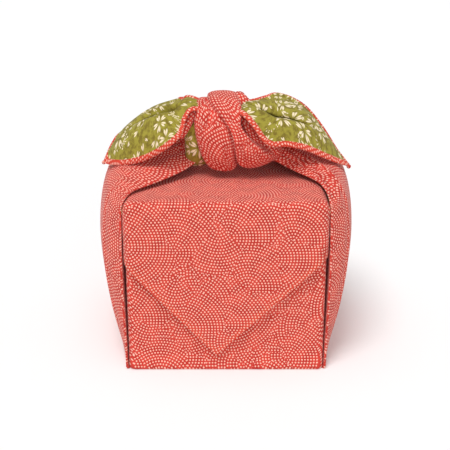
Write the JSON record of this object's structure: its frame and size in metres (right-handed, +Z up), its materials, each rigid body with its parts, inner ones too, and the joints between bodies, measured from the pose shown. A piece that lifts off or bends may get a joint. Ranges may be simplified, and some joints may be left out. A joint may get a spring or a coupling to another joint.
{
  "type": "furoshiki wrap tied round a box",
  "caption": "Square reversible cotton cloth folded round a box, with one corner hanging down the front and two corners tied on top in a square knot with free ears",
  "frame": {"origin": "middle of the underside, on the surface it stands on", "axes": "+Z up, -Y towards the front with the hanging corner, +X to the right seen from the front"},
  "size_m": [0.1456, 0.111, 0.1474],
  "materials": {
    "cotton": "matte cotton, red fine dot print outside, olive green with pale blossoms inside",
    "paulownia": "plain unfinished wood, hidden inside the cloth"
  },
  "bodies": {
    "root": {"furoshiki": "cotton", "box": "paulownia"}
  },
  "joints": []
}
